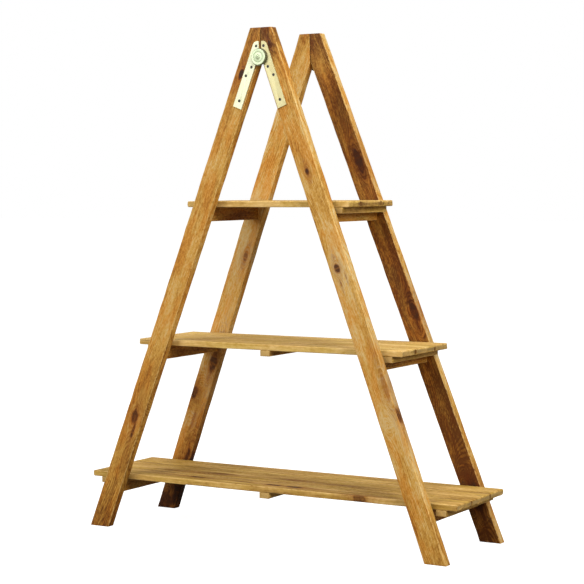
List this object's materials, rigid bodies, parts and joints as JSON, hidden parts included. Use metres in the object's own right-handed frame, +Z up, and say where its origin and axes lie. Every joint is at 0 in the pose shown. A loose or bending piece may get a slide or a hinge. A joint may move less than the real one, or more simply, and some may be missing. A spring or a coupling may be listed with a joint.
{
  "type": "ladder shelf",
  "caption": "Folding A-frame ladder shelf: two hinged wooden ladders with loose slatted shelves resting on their rungs, wider towards the floor.",
  "frame": {"origin": "on the floor under the middle of the shelf", "axes": "+X along the shelves to the right, +Y to the back, +Z up"},
  "size_m": [1.002, 0.306, 1.2],
  "materials": {
    "ladder_wood": "honey-brown stain, thin satin oil, knots and fine grain",
    "shelf_wood": "lighter tan-olive stain, matt, rough-sawn streaks",
    "cleat_wood": "tan stain, matt",
    "dowel_wood": "bare beech",
    "hinge_arm_zinc": "yellow-passivated zinc plate, satin",
    "hinge_pivot_zinc": "pale zinc plate, satin",
    "hinge_screws": "black oxide",
    "cleat_screws": "yellow zinc plate"
  },
  "bodies": {
    "left_ladder": {"back_hinge_left_arm": "hinge_arm_zinc", "back_hinge_left_screws": "hinge_screws", "front_hinge_cover_disc": "hinge_pivot_zinc", "front_hinge_left_arm": "hinge_arm_zinc", "front_hinge_left_screws": "hinge_screws", "front_hinge_rivet": "hinge_pivot_zinc", "left_back_leg": "ladder_wood", "left_bottom_rung": "ladder_wood", "left_front_leg": "ladder_wood", "left_middle_rung": "ladder_wood", "left_rung_dowels": "dowel_wood", "left_top_rung": "ladder_wood"},
    "right_ladder": {"back_hinge_cover_disc": "hinge_pivot_zinc", "back_hinge_right_arm": "hinge_arm_zinc", "back_hinge_right_screws": "hinge_screws", "back_hinge_rivet": "hinge_pivot_zinc", "front_hinge_right_arm": "hinge_arm_zinc", "front_hinge_right_screws": "hinge_screws", "right_back_leg": "ladder_wood", "right_bottom_rung": "ladder_wood", "right_front_leg": "ladder_wood", "right_middle_rung": "ladder_wood", "right_rung_dowels": "dowel_wood", "right_top_rung": "ladder_wood"},
    "bottom_shelf": {"bottom_shelf_back_board": "shelf_wood", "bottom_shelf_centre_board": "shelf_wood", "bottom_shelf_centre_cleat": "cleat_wood", "bottom_shelf_front_board": "shelf_wood", "bottom_shelf_left_cleat": "cleat_wood", "bottom_shelf_right_cleat": "cleat_wood", "bottom_shelf_screws": "cleat_screws"},
    "middle_shelf": {"middle_shelf_back_board": "shelf_wood", "middle_shelf_centre_board": "shelf_wood", "middle_shelf_centre_cleat": "cleat_wood", "middle_shelf_front_board": "shelf_wood", "middle_shelf_left_cleat": "cleat_wood", "middle_shelf_right_cleat": "cleat_wood", "middle_shelf_screws": "cleat_screws"},
    "top_shelf": {"top_shelf_back_board": "shelf_wood", "top_shelf_centre_board": "shelf_wood", "top_shelf_front_board": "shelf_wood", "top_shelf_left_cleat": "cleat_wood", "top_shelf_right_cleat": "cleat_wood", "top_shelf_screws": "cleat_screws"}
  },
  "joints": [
    {"name": "fold", "type": "hinge", "parent": "left_ladder", "child": "right_ladder", "pos_m": [0, 0, 1.131], "axis": [0, 1, 0], "range_deg": [0, 41]},
    {"name": "bottom_shelf_lift", "type": "slide", "parent": "left_ladder", "child": "bottom_shelf", "axis": [0, 0, 1], "range_m": [0, 0.04]},
    {"name": "middle_shelf_lift", "type": "slide", "parent": "left_ladder", "child": "middle_shelf", "axis": [0, 0, 1], "range_m": [0, 0.04]},
    {"name": "top_shelf_lift", "type": "slide", "parent": "left_ladder", "child": "top_shelf", "axis": [0, 0, 1], "range_m": [0, 0.04]}
  ]
}
